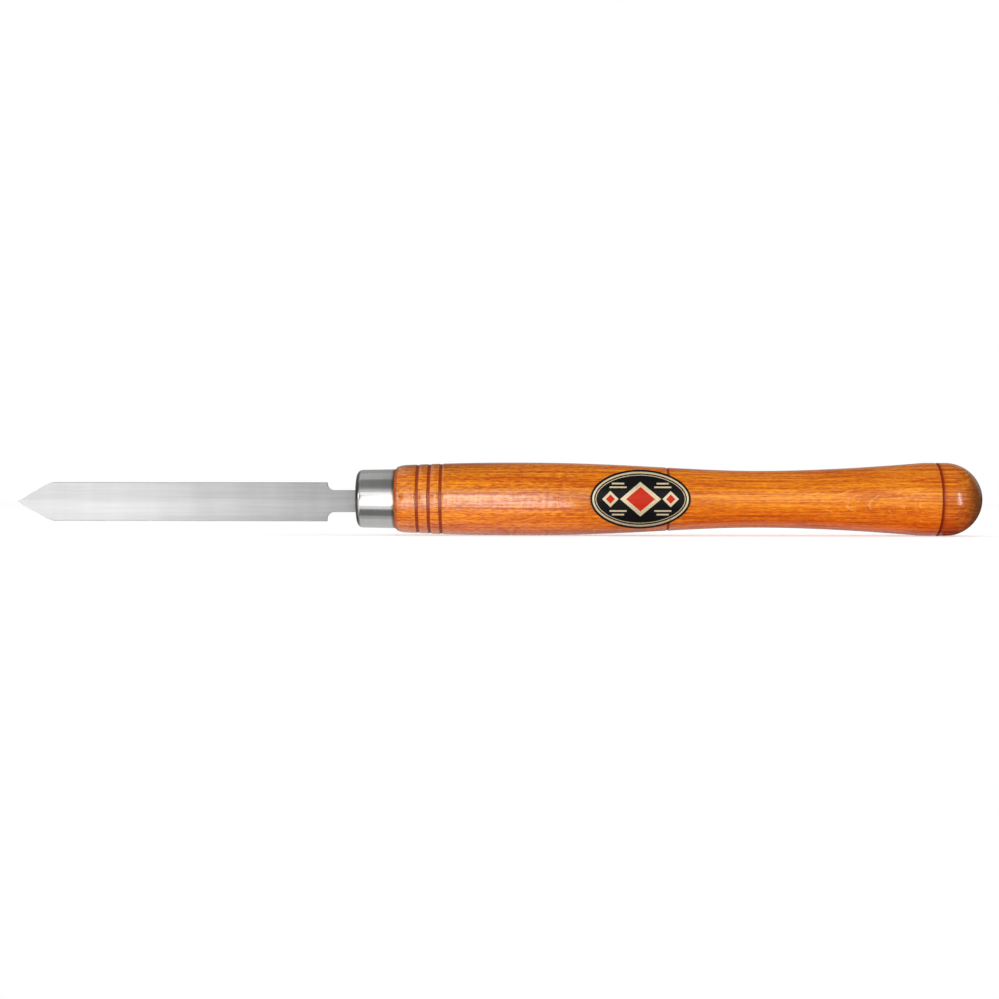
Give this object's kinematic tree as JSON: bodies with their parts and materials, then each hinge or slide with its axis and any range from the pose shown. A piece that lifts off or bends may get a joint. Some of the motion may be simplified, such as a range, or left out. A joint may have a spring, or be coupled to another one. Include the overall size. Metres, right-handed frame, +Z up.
{
  "type": "parting tool",
  "caption": "Woodturning parting tool: a straight ground steel blade with a symmetric point, set through a steel ferrule into a long turned wooden handle with ring grooves and a round pommel.",
  "frame": {"origin": "on the bench under the middle of the tool's length, below the handle's axis", "axes": "+X along the tool from the blade's point to the butt, +Z up across the blade's width, +Y square to the blade's broad faces, away from the side that carries the label"},
  "size_m": [0.43, 0.0324, 0.0325],
  "materials": {
    "ground_steel": "satin",
    "drawn_steel": "polished",
    "stained_beech": "gloss",
    "label_foil": "satin"
  },
  "bodies": {
    "root": {"blade": "ground_steel", "ferrule": "drawn_steel", "handle": "stained_beech", "label": "label_foil"}
  },
  "joints": []
}
